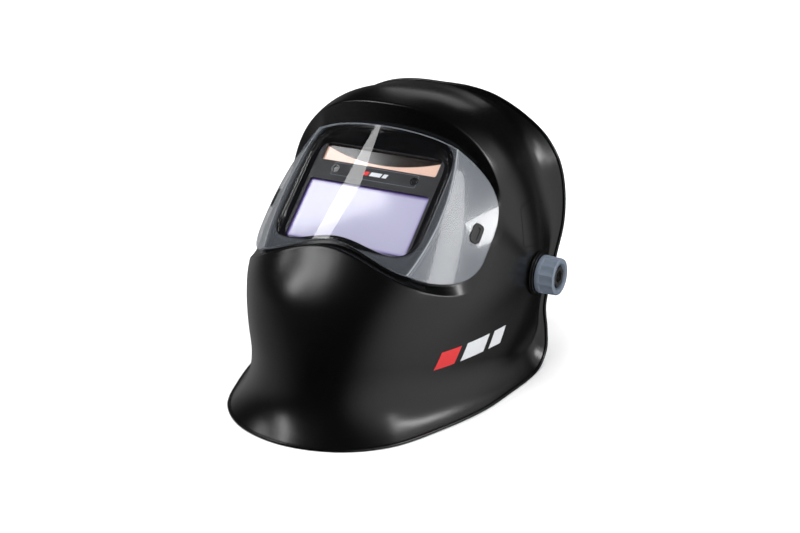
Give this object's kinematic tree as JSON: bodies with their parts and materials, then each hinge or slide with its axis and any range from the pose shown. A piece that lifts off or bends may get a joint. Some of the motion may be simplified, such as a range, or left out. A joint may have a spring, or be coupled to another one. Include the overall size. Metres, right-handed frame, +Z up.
{
  "type": "auto-darkening welding helmet",
  "caption": "Black auto-darkening welding helmet with a curved clear cover lens, a filter cartridge with inside controls, side tilt knobs and a ratchet headgear.",
  "frame": {"origin": "on the floor under the middle of the whole part, where the shell's rim rests", "axes": "+Z up; the helmet faces -Y; the wearer's left is +X"},
  "size_m": [0.24, 0.338, 0.2157],
  "materials": {
    "band_black": "satin",
    "black_shell": "fine-grained satin",
    "cartridge_case": "satin",
    "circuit_green": "solder mask",
    "clear_polycarbonate": "clear, polished",
    "control_grey": "satin",
    "dark_plastic": "matte",
    "filter_glass": "mirror-coated lilac",
    "foam_pad": "soft knitted cover over foam",
    "gloss_black": "gloss",
    "grey_knob": "satin",
    "lcd_glass": "polished",
    "seal_rubber": "matte",
    "solar_strip": "polished over a solar cell",
    "zinc_steel": "zinc plated"
  },
  "bodies": {
    "helmet": {"shell": "black_shell", "front_cover_lens": "clear_polycarbonate", "lens_clip_left": "black_shell", "lens_clip_right": "black_shell", "window_gasket": "seal_rubber", "adf_case_front": "cartridge_case", "adf_case_rear": "cartridge_case", "uv_ir_filter": "filter_glass", "lcd_shutter": "lcd_glass", "solar_cell": "solar_strip", "arc_sensor_left": "dark_plastic", "arc_sensor_right": "dark_plastic", "circuit_board": "circuit_green", "coin_cell": "zinc_steel", "inner_cover_plate": "clear_polycarbonate", "adf_retainer": "black_shell", "outer_washer_left": "gloss_black", "outer_washer_right": "gloss_black"},
    "pivot_carriers": {"tilt_plate_left": "black_shell", "tilt_plate_right": "black_shell", "friction_washer_left": "seal_rubber", "friction_washer_right": "seal_rubber", "pivot_bolt_left": "zinc_steel", "pivot_bolt_right": "zinc_steel"},
    "headgear": {"headband": "band_black", "brow_pad": "foam_pad", "crown_strap_front": "band_black", "crown_strap_rear": "band_black", "side_arm_left": "band_black", "side_arm_right": "band_black"},
    "nape_band": {"nape_strap_left": "band_black", "nape_strap_right": "band_black", "ratchet_cover_front": "black_shell", "ratchet_cover_rear": "black_shell", "nape_pad": "foam_pad"},
    "size_knob": {"ratchet_knob": "grey_knob"},
    "left_knob": {"knob_left": "grey_knob", "knob_insert_left": "dark_plastic"},
    "right_knob": {"knob_right": "grey_knob", "knob_insert_right": "dark_plastic"},
    "shade": {"shade_dial": "control_grey"},
    "sensitivity": {"sensitivity_dial": "control_grey"},
    "delay": {"delay_dial": "control_grey"},
    "test": {"test_button": "control_grey"},
    "battery_door": {"battery_cap": "control_grey"}
  },
  "joints": [
    {"name": "headgear_tilt", "type": "hinge", "parent": "helmet", "child": "pivot_carriers", "pos_m": [0, 0.0315, 0.081], "axis": [1, 0, 0], "range_deg": [-29.5, 40.5]},
    {"name": "reach_slide", "type": "slide", "parent": "pivot_carriers", "child": "headgear", "axis": [0, 0.9511, -0.309], "range_m": [-0.012, 0.012]},
    {"name": "nape_slide", "type": "slide", "parent": "headgear", "child": "nape_band", "axis": [0, 0.872, -0.4895], "range_m": [-0.012, 0.012]},
    {"name": "size_knob_turn", "type": "hinge", "parent": "nape_band", "child": "size_knob", "pos_m": [0, 0.1544, 0.02609], "axis": [0, 0.9511, -0.309], "range_deg": [-171.9, 171.9]},
    {"name": "left_knob_turn", "type": "hinge", "parent": "pivot_carriers", "child": "left_knob", "pos_m": [0.112, 0.0315, 0.081], "axis": [1, 0, 0], "range_deg": [0, 360]},
    {"name": "right_knob_turn", "type": "hinge", "parent": "pivot_carriers", "child": "right_knob", "pos_m": [-0.112, 0.0315, 0.081], "axis": [-1, 0, 0], "range_deg": [0, 360]},
    {"name": "shade_dial_turn", "type": "hinge", "parent": "helmet", "child": "shade", "pos_m": [0, -0.02248, 0.15767], "axis": [0, 0.6756, -0.7373], "range_deg": [-135, 135]},
    {"name": "sensitivity_dial_turn", "type": "hinge", "parent": "helmet", "child": "sensitivity", "pos_m": [-0.042, -0.02248, 0.15767], "axis": [0, 0.6756, -0.7373], "range_deg": [-135, 135]},
    {"name": "delay_dial_turn", "type": "hinge", "parent": "helmet", "child": "delay", "pos_m": [-0.024, -0.02248, 0.15767], "axis": [0, 0.6756, -0.7373], "range_deg": [-135, 135]},
    {"name": "test_button_press", "type": "slide", "parent": "helmet", "child": "test", "axis": [0, -0.6756, 0.7373], "range_m": [0, 0.0009], "stiffness_N_per_m": 400},
    {"name": "battery_cap_turn", "type": "hinge", "parent": "helmet", "child": "battery_door", "pos_m": [0.038, -0.02478, 0.16018], "axis": [0, 0.6756, -0.7373], "range_deg": [0, 45]}
  ],
  "couplings": [
    {"joint": "size_knob_turn", "follows": "nape_slide", "rad_per_m": 250}
  ]
}
